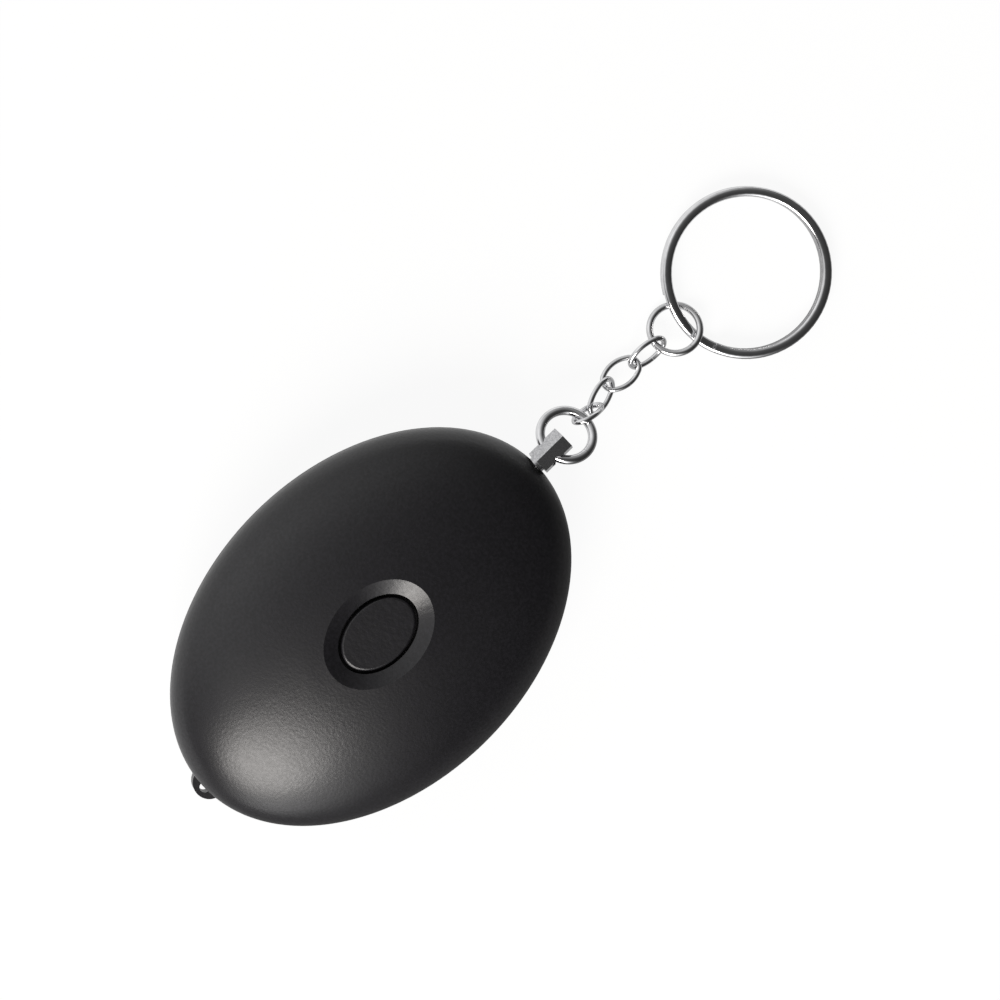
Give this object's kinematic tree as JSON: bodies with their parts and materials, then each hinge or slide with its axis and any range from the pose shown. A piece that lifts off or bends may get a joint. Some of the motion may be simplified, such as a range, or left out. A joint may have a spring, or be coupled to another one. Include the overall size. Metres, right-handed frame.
{
  "type": "personal safety alarm",
  "caption": "Oval pocket siren with a domed black case, a centre button in a dish, and a pull pin on a short chain and split key ring that sets it off.",
  "frame": {"origin": "centre of the flat back face", "axes": "+Z out of the back face towards the button, +Y along the body towards the pull pin and key ring, +X to the right with the button up and the pin away"},
  "size_m": [0.0468, 0.1214, 0.0206],
  "materials": {
    "case": "fine-grained matt black",
    "button": "satin black",
    "socket": "black",
    "steel": "zinc plated",
    "cell": "bright steel can",
    "contact_nickel": "nickel plated strip",
    "contact_brass": "spring brass",
    "board": "green solder mask",
    "package": "moulded black",
    "plunger": "dark grey",
    "inductor": "ferrite and wound wire",
    "can": "satin can",
    "piezo_brass": "rolled brass",
    "ceramic": "silvered ceramic",
    "lead_red": "red insulation",
    "lead_black": "black insulation",
    "pin_metal": "satin machined",
    "chain_chrome": "bright plated",
    "key_chrome": "bright plated"
  },
  "bodies": {
    "housing": {"front_shell": "case", "rear_shell": "case", "battery_door": "case", "battery_door_screw": "steel", "shell_screws": "steel", "circuit_board": "board", "board_screws": "steel", "switch_body": "package", "controller_chip": "package", "boost_inductor": "inductor", "drive_transistor": "package", "filter_capacitor": "can", "chip_resistors": "package", "piezo_disc": "piezo_brass", "piezo_ceramic": "ceramic", "piezo_lead_red": "lead_red", "piezo_lead_black": "lead_black", "button_cells": "cell", "battery_contact_positive": "contact_nickel", "battery_contact_negative": "contact_nickel", "pin_socket": "socket", "fixed_contact": "contact_brass"},
    "button_cap": {"button_cap": "button"},
    "switch_plunger": {"switch_plunger": "plunger"},
    "contact_leaf": {"contact_leaf": "contact_brass"},
    "pull_pin": {"pull_pin": "pin_metal"},
    "pin_ring": {"pin_ring": "chain_chrome"},
    "chain_link_1": {"chain_link_1": "chain_chrome"},
    "chain_link_2": {"chain_link_2": "chain_chrome"},
    "chain_link_3": {"chain_link_3": "chain_chrome"},
    "chain_link_4": {"chain_link_4": "chain_chrome"},
    "jump_ring": {"jump_ring": "chain_chrome"},
    "key_ring": {"key_ring": "key_chrome"}
  },
  "joints": [
    {"name": "button_press", "type": "slide", "parent": "housing", "child": "button_cap", "axis": [0, 0, -1], "range_m": [0, 0.0005], "stiffness_N_per_m": 1500},
    {"name": "plunger_press", "type": "slide", "parent": "housing", "child": "switch_plunger", "axis": [0, 0, -1], "range_m": [0, 0.0006]},
    {"name": "pin_pull", "type": "slide", "parent": "housing", "child": "pull_pin", "axis": [0, 1, 0], "range_m": [0, 0.0142]},
    {"name": "leaf_swing", "type": "hinge", "parent": "housing", "child": "contact_leaf", "pos_m": [0.00148, 0.01, 0.01005], "axis": [0, 0, 1], "range_deg": [0, 6]},
    {"name": "pin_ring_swing", "type": "hinge", "parent": "pull_pin", "child": "pin_ring", "pos_m": [0, 0.03569, 0.01], "axis": [0.9563, 0, 0.2924], "range_deg": [-30, 90]},
    {"name": "link_1_swing", "type": "hinge", "parent": "pin_ring", "child": "chain_link_1", "pos_m": [0.00037, 0.04267, 0.00732], "axis": [0.9605, 0.0546, 0.273], "range_deg": [-45, 42]},
    {"name": "link_2_swing", "type": "hinge", "parent": "chain_link_1", "child": "chain_link_2", "pos_m": [0.00074, 0.04534, 0.00374], "axis": [0.3958, 0.7156, 0.5755], "range_deg": [-60, 75]},
    {"name": "link_3_swing", "type": "hinge", "parent": "chain_link_2", "child": "chain_link_3", "pos_m": [0.00015, 0.04954, 0.00194], "axis": [0.7501, -0.1687, -0.6394], "range_deg": [-45, 15]},
    {"name": "link_4_swing", "type": "hinge", "parent": "chain_link_3", "child": "chain_link_4", "pos_m": [0.00072, 0.0542, 0.00161], "axis": [0.9356, -0.0908, 0.3412], "range_deg": [-60, 60]},
    {"name": "jump_ring_swing", "type": "hinge", "parent": "chain_link_4", "child": "jump_ring", "pos_m": [0.00097, 0.05778, 0.00231], "axis": [0.9464, -0.0208, 0.3224], "range_deg": [-75, 75]},
    {"name": "key_ring_swing", "type": "hinge", "parent": "jump_ring", "child": "key_ring", "pos_m": [0.00157, 0.06307, 0.00127], "axis": [0.9033, -0.1318, -0.4083], "range_deg": [-60, 60]}
  ],
  "couplings": [
    {"joint": "plunger_press", "follows": "button_press", "ratio": 1},
    {"joint": "leaf_swing", "follows": "pin_pull", "rad_per_m": 7.3739}
  ]
}
